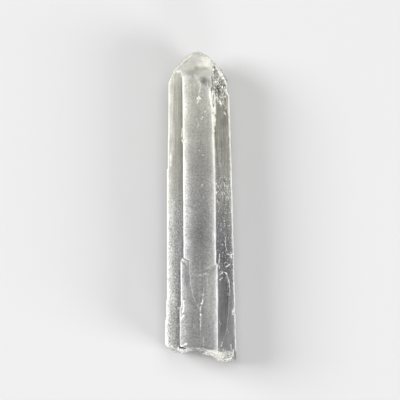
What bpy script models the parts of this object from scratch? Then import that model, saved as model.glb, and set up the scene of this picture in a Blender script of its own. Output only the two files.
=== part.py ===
"""Laser quartz point: one slender crystal of clear quartz, lying on one of its prism faces.

Tables are in millimetres and degrees. +Y runs along the crystal to its point, +Z is up, and the
origin is on the surface it rests on, under the middle of the crystal.

A face is told by its azimuth, the angle round the long axis of the way it looks: 90 is straight
up and 270 is the face it rests on. On a face, "across" runs to the right as seen from outside with
the point away from you, and "along" is the same as world Y.
"""

import math
import random

import bmesh
import bpy
import numpy
from mathutils import Matrix, Vector, noise

MM = 0.001

# Driving dimensions
LENGTH = 76.0
AXIS_HEIGHT = 7.2  # the long axis, above the face it rests on
BLOCK_MARGIN = 10.0  # the rough block is this much larger than the crystal all round

# Prism faces: azimuth, then the distance from the axis at the middle of the length, and the taper,
# which is how far the face closes in towards the point for each mm of length. The upper right
# face is bent: it closes in faster over the half next to the point.
PRISM_FACES = (
    (90, 6.80, 0.0078),
    (150, 7.08, 0.0016),
    (210, 7.53, 0.0105),
    (270, AXIS_HEIGHT, 0.0),
    (330, 7.37, 0.0257),
    (30, 6.43, 0.0119),
    (30, 6.48, 0.0278),
)

# Termination: the rhombohedral faces of quartz lean 38.2 degrees to the long axis. They are unequal,
# so each meets the axis at a height of its own.
RHOMB_LEAN = 38.2
RHOMB_FACES = {90: 40.1, 150: 42.0, 210: 38.7, 270: 39.6, 330: 38.6, 30: 40.6}

# Wear: the sharp apex is rubbed down to a low cap, and the shoulders of the point are rounded by
# flat facets. Azimuth, lean to the axis, then a point on the facet: out from the axis, and along.
WORN_FACETS = (
    (20, 63.0, 1.35, 37.05),
    (75, 66.0, 0.0, 38.0),
    (172, 64.0, 3.5, 36.89),
    (250, 66.0, 0.0, 38.1),
    (310, 62.0, 1.35, 37.0),
    (0, 44.5, 3.60, 35.06),
    (4, 34.0, 5.25, 33.1),
    (10, 24.0, 5.95, 31.75),
    (16, 15.0, 6.42, 30.2),
    (176, 30.0, 7.2, 32.3),
    (184, 17.0, 7.55, 30.9),
)

# Growth terraces: over these stretches a prism face lies lower than its own plane, up to a ragged
# front. Name, azimuth, front, distance from the axis at the front, taper, and skew of the front.
TERRACES = (
    ("left_upper_terrace", 150, -25.2, 6.92, -0.0015, 0.35),
    ("left_lower_terrace_1", 210, -27.0, 7.62, 0.0, -0.25),
    ("left_lower_terrace_2", 210, -24.4, 7.25, 0.0, 0.4),
    ("left_lower_terrace_3", 210, 7.9, 6.90, 0.0168, 0.3),
    ("right_lower_terrace_1", 330, -19.0, 7.72, 0.0257, 0.5),
    ("right_lower_terrace_2", 330, 6.5, 7.07, 0.0150, -0.35),
)
TERRACE_HALF_WIDTH = 9.0
TERRACE_STEPS = 7  # corners in a ragged front
TERRACE_RAGGED = 0.45
CUTTER_THICKNESS = 6.0
BEYOND_TIP = 50.0
BEYOND_BASE = -50.0

# Steps broken into the faces near the base, as outlines on a face (across, along).
TOP_LEFT_LEDGE = (
    (-12.0, -13.5), (-4.75, -13.5), (-4.4, -12.65), (-4.0, -12.5), (-3.3, -12.9), (-2.55, -13.0),
    (-2.65, -14.5), (-2.4, -17.2), (-2.3, -19.6), (-1.8, -21.5), (-0.85, -23.5), (-0.05, -25.2),
    (0.0, BEYOND_BASE), (-12.0, BEYOND_BASE),
)
TOP_LEFT_BEVEL = (
    (-12.0, -13.2), (-4.75, -13.4), (-4.1, -14.2), (-3.3, -14.9), (-1.0, -16.5),
    (-1.0, BEYOND_BASE), (-12.0, BEYOND_BASE),
)
TOP_RIGHT_LEDGE = (
    (0.0, BEYOND_BASE), (0.0, -25.2), (0.6, -22.0), (0.8, -19.1), (0.7, -16.2), (1.85, -15.9),
    (2.35, -15.2), (2.8, -14.7), (3.55, -14.2), (12.0, -14.2), (12.0, BEYOND_BASE),
)
RIGHT_SCAR = (
    (-2.7, -16.1), (-1.5, -15.8), (0.0, -15.7), (1.2, -16.2), (2.0, -17.6), (2.3, -19.6),
    (2.5, -22.8), (2.1, -26.7), (1.1, -30.1), (-1.5, -33.9), (-2.9, -33.9), (-2.9, -22.8),
)
# Name, azimuth of the face, outline, the depth at the middle line of the face, and how much deeper
# the floor gets for each mm across.
LEDGES = (
    ("top_left_ledge", 90, TOP_LEFT_LEDGE, 0.05, -0.125),
    ("top_left_bevel", 90, TOP_LEFT_BEVEL, -1.53, -0.59),
    ("top_right_ledge", 90, TOP_RIGHT_LEDGE, 0.05, 0.14),
    ("right_scar", 30, RIGHT_SCAR, 0.30, 0.03),
)

# Conchoidal bites: name, azimuth of the edge or face, along, depth, then the half sizes of the lump
# that bit it out, along, across and outwards.
BITES = (
    ("chamfer_bite_1", 62, 27.4, 0.34, 2.9, 1.5, 1.0),
    ("chamfer_bite_2", 60, 23.8, 0.26, 2.2, 1.0, 0.9),
    ("chamfer_bite_3", 60, 20.9, 0.16, 1.5, 0.7, 0.7),
    ("left_shoulder_bite", 180, 28.7, 0.14, 0.8, 1.3, 0.9),
    ("left_edge_bite_1", 120, -16.9, 0.30, 0.5, 0.9, 0.7),
    ("left_edge_bite_2", 124, -24.3, 0.38, 1.5, 1.1, 0.9),
    ("left_edge_bite_3", 123, -26.9, 0.34, 0.7, 1.2, 0.9),
    ("left_edge_bite_4", 121, 16.1, 0.18, 0.5, 0.7, 0.6),
    ("right_edge_bite_1", 357, -25.7, 0.22, 1.1, 1.0, 1.0),
    ("right_edge_bite_2", 359, -12.0, 0.14, 0.5, 0.7, 0.7),
    ("right_shoulder_bite", 357, 29.4, 0.70, 2.6, 3.2, 1.6),
    ("lower_left_bite", 240, -6.0, 0.45, 1.9, 1.5, 1.3),
    ("lower_right_bite", 300, -20.0, 0.5, 2.3, 1.6, 1.4),
    ("base_spur_bite", 121, -34.4, 1.7, 0.24, 1.2, 1.6),
)
BITE_TURN = 37.0  # each bite is turned by this much more than the last

# The upper right face is crumbled below the point: many small chips, larger towards the shoulder.
CRUMBLE_COUNT = 58
CRUMBLE_SEED = 11
CRUMBLE_AZIMUTH = 30
CRUMBLE_ACROSS = (-2.9, 2.9)
CRUMBLE_ALONG = (24.6, 33.6)
CRUMBLE_SIZE = (0.45, 1.4)
CRUMBLE_DEPTH = (0.12, 0.5)
CRUMBLE_TILT = 0.45  # radians, either way along the crystal
CRUMBLE_STRETCH = (0.8, 1.6)  # how much longer a chip is along the crystal

# Broken base: its border on the upper faces and its low rim nearer the surface it rests on, as
# places across and along. In between it bulges, with ripples and small steps.
BASE_BORDER = (
    (-9.5, -32.0), (-8.65, -33.5), (-8.2, -34.2), (-7.4, -34.75), (-6.6, -35.1), (-5.2, -35.1),
    (-3.3, -34.3), (-2.1, -34.0), (-0.1, -34.0), (1.4, -34.4), (4.3, -34.9), (7.3, -35.1),
    (8.1, -36.4), (8.6, -37.7), (9.5, -37.9),
)
BASE_RIM = (
    (-9.5, -32.0), (-8.65, -33.6), (-8.2, -34.3), (-7.4, -34.85), (-6.4, -35.6), (-4.0, -35.75),
    (-2.5, -35.1), (-0.1, -35.9), (1.6, -36.2), (3.0, -36.6), (3.9, -37.3), (4.3, -37.7),
    (7.7, -38.1), (8.3, -38.1), (8.8, -37.9), (9.5, -37.9),
)
BASE_BULGE = 0.8  # below one, the fracture leaves the upper faces steeply
RIM_HEIGHT = 0.45  # how far up the fracture its rim is, as a share of the height there
BASE_GRID = (30, 22)  # points across and up
BASE_MARGIN = 1.0  # the fracture's grid reaches this far beyond the crystal
BASE_JITTER = 0.38  # each point is moved aside by up to this share of the spacing
BASE_SEED = 5
LUMPS = ((0.22, 0.34), (0.55, 0.16), (1.3, 0.09))  # lumps for each mm, and their height
RIPPLE_CENTRE = (6.5, 1.0)  # across and up: where the break began
RIPPLE_PITCH = 2.1
RIPPLE_HEIGHT = 0.12

# Clear quartz with worn, frosted faces
QUARTZ_COLOUR = (0.72, 0.72, 0.70, 1.0)
QUARTZ_ROUGHNESS = 0.35
QUARTZ_CLEARNESS = 0.6
QUARTZ_IOR = 1.544


def remove_old_objects():
    for old in list(bpy.data.objects):
        bpy.data.objects.remove(old)


def new_collection(name):
    collection = bpy.data.collections.new(name)
    bpy.context.scene.collection.children.link(collection)
    return collection


def quartz_material():
    """Clear quartz whose worn, frosted faces look pale grey."""
    material = bpy.data.materials.new("frosted_clear_quartz")
    material.use_nodes = True
    shader = material.node_tree.nodes["Principled BSDF"]
    shader.inputs["Base Color"].default_value = QUARTZ_COLOUR
    shader.inputs["Roughness"].default_value = QUARTZ_ROUGHNESS
    shader.inputs["Metallic"].default_value = 0.0
    shader.inputs["Transmission Weight"].default_value = QUARTZ_CLEARNESS
    shader.inputs["IOR"].default_value = QUARTZ_IOR
    return material


def face_frame(azimuth, distance, along=0.0, taper=0.0):
    """Frame on a face: X across, Y along the crystal, Z outwards, in metres."""
    angle = math.radians(azimuth)
    outwards = Vector((math.cos(angle), 0.0, math.sin(angle)))
    lengthways = Vector((0.0, 1.0, 0.0))
    normal = (outwards + lengthways * taper).normalized()
    across = lengthways.cross(outwards).normalized()
    frame = Matrix((across, normal.cross(across), normal)).transposed().to_4x4()
    axis_point = Vector((0.0, along, AXIS_HEIGHT))
    frame.translation = (axis_point + outwards * distance) * MM
    return frame


def slice_off(mesh, frame):
    """Cut away whatever stands out of the face with this frame, and close the cut."""
    everything = mesh.verts[:] + mesh.edges[:] + mesh.faces[:]
    cut = bmesh.ops.bisect_plane(
        mesh,
        geom=everything,
        dist=0.000001,
        plane_co=frame.translation,
        plane_no=frame.to_3x3().col[2],
        clear_outer=True,
    )
    rim = [item for item in cut["geom_cut"] if isinstance(item, bmesh.types.BMEdge)]
    bmesh.ops.edgeloop_fill(mesh, edges=rim)


def crystal_mesh():
    """The crystal as it grew and wore: a tapering prism, its point and the worn facets."""
    mesh = bmesh.new()
    bmesh.ops.create_cube(mesh, size=(LENGTH + 2.0 * BLOCK_MARGIN) * MM)
    for azimuth, distance, taper in PRISM_FACES:
        slice_off(mesh, face_frame(azimuth, distance, 0.0, taper))
    rhomb_slope = math.tan(math.radians(RHOMB_LEAN))
    for azimuth, meets_axis in RHOMB_FACES.items():
        slice_off(mesh, face_frame(azimuth, 0.0, meets_axis, rhomb_slope))
    for azimuth, lean, distance, along in WORN_FACETS:
        slice_off(mesh, face_frame(azimuth, distance, along, math.tan(math.radians(lean))))
    return mesh


def object_from_bmesh(name, mesh, collection):
    bmesh.ops.recalc_face_normals(mesh, faces=mesh.faces)
    data = bpy.data.meshes.new(name)
    mesh.to_mesh(data)
    mesh.free()
    piece = bpy.data.objects.new(name, data)
    collection.objects.link(piece)
    return piece


def outline_cutter(name, outline, frame, collection):
    """A block with the given flat outline, which stands outwards from the frame's plane."""
    curve = bpy.data.curves.new(name, "CURVE")
    curve.dimensions = "2D"
    curve.fill_mode = "BOTH"
    curve.extrude = CUTTER_THICKNESS * MM / 2.0
    spline = curve.splines.new("POLY")
    spline.points.add(len(outline) - 1)
    for point, (across, along) in zip(spline.points, outline):
        point.co = (across * MM, along * MM, 0.0, 1.0)
    spline.use_cyclic_u = True
    drawn = bpy.data.objects.new(name, curve)
    drawn.matrix_world = frame @ Matrix.Translation((0.0, 0.0, curve.extrude))
    collection.objects.link(drawn)
    depsgraph = bpy.context.evaluated_depsgraph_get()
    mesh = bmesh.new()
    mesh.from_mesh(bpy.data.meshes.new_from_object(drawn.evaluated_get(depsgraph)))
    bmesh.ops.remove_doubles(mesh, verts=mesh.verts, dist=0.00001)
    cutter = object_from_bmesh(name + "_cutter", mesh, collection)
    cutter.matrix_world = drawn.matrix_world
    bpy.data.objects.remove(drawn)
    return cutter


def terrace_cutter(name, azimuth, front, distance, taper, skew, collection):
    """Lowers a face from its ragged front to beyond the point."""
    chance = random.Random(name)
    outline = [(TERRACE_HALF_WIDTH, BEYOND_TIP), (-TERRACE_HALF_WIDTH, BEYOND_TIP)]
    for step in range(TERRACE_STEPS):
        across = TERRACE_HALF_WIDTH * (2.0 * step / (TERRACE_STEPS - 1) - 1.0)
        jog = chance.uniform(-TERRACE_RAGGED, TERRACE_RAGGED)
        outline.append((across, front + skew * across + jog))
    shifted = [(across, along - front) for across, along in outline]
    return outline_cutter(name, shifted, face_frame(azimuth, distance, front, taper), collection)


def surface_distance(azimuth, along):
    """Distance from the axis to the prism's surface, at this azimuth and place along."""
    distances = []
    for face, distance, taper in PRISM_FACES:
        towards = math.cos(math.radians(azimuth - face))
        if towards > 0.0:
            distances.append((distance - taper * along) / towards)
    return min(distances)


def ledge_cutter(name, azimuth, outline, depth, fall, collection):
    """Breaks a step into a face: its floor falls away across the face."""
    near_base = BASE_BORDER[0][1]
    distance = surface_distance(azimuth, 0.0)
    taper = (surface_distance(azimuth, near_base) - distance) / -near_base
    tilt = Matrix.Rotation(math.atan(fall), 4, "Y")
    face = face_frame(azimuth, distance, 0.0, taper)
    lowered = face @ Matrix.Translation((0.0, 0.0, -depth * MM)) @ tilt
    return outline_cutter(name, outline, lowered, collection)


def bite_cutter(name, frame, half_sizes, turn, collection):
    """A faceted lump whose middle is at the frame: what it bites out leaves small flat facets."""
    mesh = bmesh.new()
    bmesh.ops.create_icosphere(mesh, subdivisions=1, radius=MM)
    along, across, outwards = half_sizes
    bmesh.ops.rotate(mesh, verts=mesh.verts, cent=(0, 0, 0), matrix=Matrix.Rotation(turn, 3, "Z"))
    bmesh.ops.scale(mesh, verts=mesh.verts, vec=(across, along, outwards))
    cutter = object_from_bmesh(name + "_cutter", mesh, collection)
    cutter.matrix_world = frame
    return cutter


def bite_cutters(collection):
    for index, (name, azimuth, along, depth, *half_sizes) in enumerate(BITES):
        distance = surface_distance(azimuth, along) + half_sizes[2] - depth
        frame = face_frame(azimuth, distance, along)
        bite_cutter(name, frame, half_sizes, math.radians(BITE_TURN * index), collection)


def crumble_cutters(collection):
    """Small chips over the crumbled face, each turned and sized by chance."""
    chance = random.Random(CRUMBLE_SEED)
    for index in range(CRUMBLE_COUNT):
        across = chance.uniform(*CRUMBLE_ACROSS)
        along = chance.uniform(*CRUMBLE_ALONG)
        size = chance.uniform(*CRUMBLE_SIZE)
        depth = chance.uniform(*CRUMBLE_DEPTH)
        distance = surface_distance(CRUMBLE_AZIMUTH, along) + size - depth
        frame = face_frame(CRUMBLE_AZIMUTH, distance, along)
        frame = frame @ Matrix.Translation((across * MM, 0.0, 0.0))
        tilt = chance.uniform(-CRUMBLE_TILT, CRUMBLE_TILT)
        frame = frame @ Matrix.Rotation(tilt, 4, "X")
        half_sizes = (size * chance.uniform(*CRUMBLE_STRETCH), size, size)
        turn = chance.uniform(0.0, math.tau)
        bite_cutter(f"crumble_{index + 1:02d}", frame, half_sizes, turn, collection)


def upper_surface(across, along):
    """Height of the prism's upper faces above the axis, at this place across and along."""
    heights = []
    for azimuth, distance, taper in PRISM_FACES:
        outwards = math.cos(math.radians(azimuth))
        upwards = math.sin(math.radians(azimuth))
        if upwards > 0.0:
            heights.append((distance - taper * along - across * outwards) / upwards)
    return min(heights)


def fracture_along(across, up):
    """Where the broken base lies along the crystal, for a place across it and a height."""
    border = numpy.interp(across, *numpy.transpose(BASE_BORDER))
    rim = numpy.interp(across, *numpy.transpose(BASE_RIM))
    top_height = AXIS_HEIGHT + upper_surface(across, border)
    down = (1.0 - up / top_height) / (1.0 - RIM_HEIGHT)
    below_top = min(max(down, 0.0), 1.0) ** BASE_BULGE
    reach = math.hypot(across - RIPPLE_CENTRE[0], up - RIPPLE_CENTRE[1])
    relief = RIPPLE_HEIGHT * math.sin(math.tau * reach / RIPPLE_PITCH)
    for pitch, height in LUMPS:
        relief += height * noise.noise(Vector((across, up, BASE_SEED)) * pitch)
    return float(border + (rim - border) * below_top + relief)


def base_cutter(collection):
    """What broke away at the base: a block whose near side is the rippled fracture."""
    chance = random.Random(BASE_SEED)
    columns, rows = BASE_GRID
    width = 2.0 * (TERRACE_HALF_WIDTH + BASE_MARGIN)
    height = 2.0 * (AXIS_HEIGHT + BASE_MARGIN)
    aside = (BASE_JITTER * width / columns, BASE_JITTER * height / rows)
    mesh = bmesh.new()
    bmesh.ops.create_grid(mesh, x_segments=columns, y_segments=rows, size=0.5)
    for vertex in mesh.verts:
        across = vertex.co.x * width + chance.uniform(-aside[0], aside[0])
        up = vertex.co.y * height + AXIS_HEIGHT + chance.uniform(-aside[1], aside[1])
        vertex.co = Vector((across, fracture_along(across, up), up)) * MM
    outer = bmesh.ops.extrude_face_region(mesh, geom=mesh.faces[:])
    for item in outer["geom"]:
        if isinstance(item, bmesh.types.BMVert):
            item.co.y = BEYOND_BASE * MM
    return object_from_bmesh("base_cutter", mesh, collection)


def cut_away(piece, cutters):
    for cutter in cutters.objects:
        cutter.hide_render = True
        cutter.display_type = "WIRE"
    cut = piece.modifiers.new("broken_away", "BOOLEAN")
    cut.operation = "DIFFERENCE"
    cut.solver = "EXACT"
    cut.operand_type = "COLLECTION"
    cut.collection = cutters


def build():
    remove_old_objects()
    parts = new_collection("laser_quartz_point")
    cutters = new_collection("cutters")
    crystal = object_from_bmesh("quartz_crystal", crystal_mesh(), parts)
    crystal.data.materials.append(quartz_material())
    for terrace in TERRACES:
        terrace_cutter(*terrace, cutters)
    for ledge in LEDGES:
        ledge_cutter(*ledge, cutters)
    crumble_cutters(cutters)
    bite_cutters(cutters)
    base_cutter(cutters)
    cut_away(crystal, cutters)


build()
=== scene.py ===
"""Laser quartz point, finished: a slender clear crystal, frosted by wear, lying on a pale table.

The crystal is one piece, so this file follows it from its form to its skin, its damage, its
frosting and its material, and ends with the table, the light and the camera.
"""

import math

import bmesh
import bpy
import numpy as np
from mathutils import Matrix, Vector, kdtree, noise
from mathutils.bvhtree import BVHTree


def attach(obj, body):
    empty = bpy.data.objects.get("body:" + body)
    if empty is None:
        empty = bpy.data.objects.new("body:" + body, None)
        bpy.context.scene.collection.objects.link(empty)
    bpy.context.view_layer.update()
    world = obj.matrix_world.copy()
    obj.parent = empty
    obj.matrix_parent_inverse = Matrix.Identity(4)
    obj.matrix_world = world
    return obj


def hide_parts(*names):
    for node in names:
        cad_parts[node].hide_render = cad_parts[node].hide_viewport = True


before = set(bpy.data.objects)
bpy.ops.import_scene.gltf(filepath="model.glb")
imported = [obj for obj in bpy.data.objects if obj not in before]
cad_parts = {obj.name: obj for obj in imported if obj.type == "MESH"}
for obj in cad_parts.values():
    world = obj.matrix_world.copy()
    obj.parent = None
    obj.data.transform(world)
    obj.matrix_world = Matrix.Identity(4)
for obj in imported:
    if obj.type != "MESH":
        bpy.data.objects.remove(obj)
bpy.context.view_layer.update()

# ------------------------------------------------------------------------------------------------
# The crystal's form: six flat prism faces, the low point, the ledges and the broken base, as the
# solid has them. It is skinned with small faces, and every edge is rubbed to a narrow round, as
# gravel and handling leave it.
# ------------------------------------------------------------------------------------------------

MM = 0.001
WELD_DISTANCE = 0.002 * MM
SKIN_SPACING = 0.12 * MM
RUBBING_PASSES = 7
RUBBING_SHARE = 0.5  # of the way to its neighbours' middle, moved in one pass

solid = bpy.data.objects["quartz_crystal"]
form = bmesh.new()
form.from_mesh(solid.data)
bmesh.ops.remove_doubles(form, verts=form.verts, dist=WELD_DISTANCE)
form_mesh = bpy.data.meshes.new("crystal_form")
form.to_mesh(form_mesh)
form_faces = BVHTree.FromBMesh(form)


def add_object(name, data, location=(0.0, 0.0, 0.0)):
    added = bpy.data.objects.new(name, data)
    added.location = location
    bpy.context.scene.collection.objects.link(added)
    return added


def apply_modifiers(piece):
    depsgraph = bpy.context.evaluated_depsgraph_get()
    piece.data = bpy.data.meshes.new_from_object(piece.evaluated_get(depsgraph))
    piece.modifiers.clear()


def skinned_copy(name, mesh, spacing):
    """An object with an even skin of small faces over a closed mesh."""
    piece = add_object(name, mesh)
    remesh = piece.modifiers.new("skin", "REMESH")
    remesh.mode = "VOXEL"
    remesh.voxel_size = spacing
    apply_modifiers(piece)
    return piece


def read_vertices(mesh, what):
    """A vector for each vertex: its place, which is co, or its normal."""
    vectors = np.empty(3 * len(mesh.vertices))
    mesh.vertices.foreach_get(what, vectors)
    return vectors.reshape(-1, 3)


def place_vertices(mesh, places):
    mesh.vertices.foreach_set("co", places.ravel())
    mesh.update()


def rubbed(mesh, places, passes, share):
    """Moves every vertex towards its neighbours: flats stay flat, and edges are rubbed round."""
    ends = np.empty(2 * len(mesh.edges), int)
    mesh.edges.foreach_get("vertices", ends)
    first, second = ends.reshape(-1, 2).T
    count = len(places)
    neighbours = np.bincount(ends, minlength=count)
    for _ in range(passes):
        for axis in range(3):
            line = places[:, axis]
            total = np.bincount(first, line[second], count) + np.bincount(second, line[first], count)
            places[:, axis] = line + share * (total / neighbours - line)
    return places


crystal = skinned_copy("crystal", form_mesh, SKIN_SPACING)
on_form = [form_faces.find_nearest(vertex.co)[0] for vertex in crystal.data.vertices]
places = rubbed(crystal.data, np.array(on_form), RUBBING_PASSES, RUBBING_SHARE)
place_vertices(crystal.data, places)
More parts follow.
